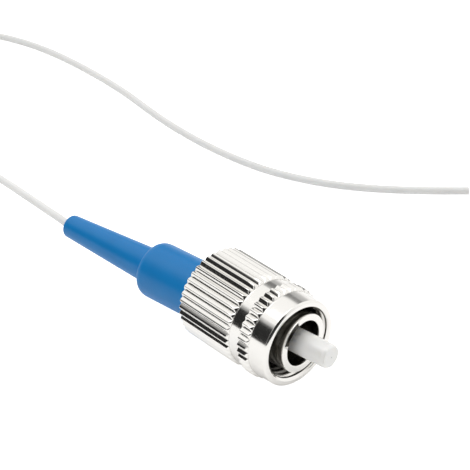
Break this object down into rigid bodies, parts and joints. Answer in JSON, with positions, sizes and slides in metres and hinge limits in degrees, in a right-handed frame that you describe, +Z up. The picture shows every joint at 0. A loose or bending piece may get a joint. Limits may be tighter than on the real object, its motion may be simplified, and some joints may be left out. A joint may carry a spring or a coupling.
{
  "type": "fibre optic pigtail",
  "caption": "Single-fibre pigtail: threaded, knurled round connector with a ceramic ferrule and strain-relief boot on a tight-buffered fibre with a bare cut end.",
  "frame": {"origin": "on the floor under the middle of the connector's box, measured without the fibre, its coil and its ties", "axes": "+X along the coupling nut's axis towards its open mouth and the ferrule, +Z up from the floor that the nut lies on"},
  "size_m": [0.1011, 0.0476, 0.0099],
  "materials": {
    "nickel_plate": "bright nickel plate on turned brass, fine turning and knurl marks",
    "white_ceramic": "polished white zirconia",
    "spring_steel": "drawn spring wire",
    "blue_boot": "satin blue moulded boot",
    "white_buffer": "smooth white buffer, slight sheen",
    "clear_nylon": "natural nylon"
  },
  "bodies": {
    "connector": {"key_sleeve": "nickel_plate", "back_post": "nickel_plate", "boot": "blue_boot", "ferrule_spring": "spring_steel", "fibre_lead": "white_buffer", "fibre_coil": "white_buffer", "fibre_tail": "white_buffer", "coil_tie_left": "clear_nylon", "coil_tie_right": "clear_nylon"},
    "nut": {"coupling_nut": "nickel_plate"},
    "ferrule": {"ferrule": "white_ceramic", "ferrule_hub": "nickel_plate"}
  },
  "joints": [
    {"name": "nut_spin", "type": "hinge", "parent": "connector", "child": "nut", "pos_m": [0.01442, 0, 0.00496], "axis": [1, 0, 0], "continuous": true},
    {"name": "ferrule_push", "type": "slide", "parent": "connector", "child": "ferrule", "axis": [0.9945, 0.1045, 0.0087], "range_m": [-0.001, 0], "stiffness_N_per_m": 300, "deforming": ["ferrule_spring"]}
  ]
}
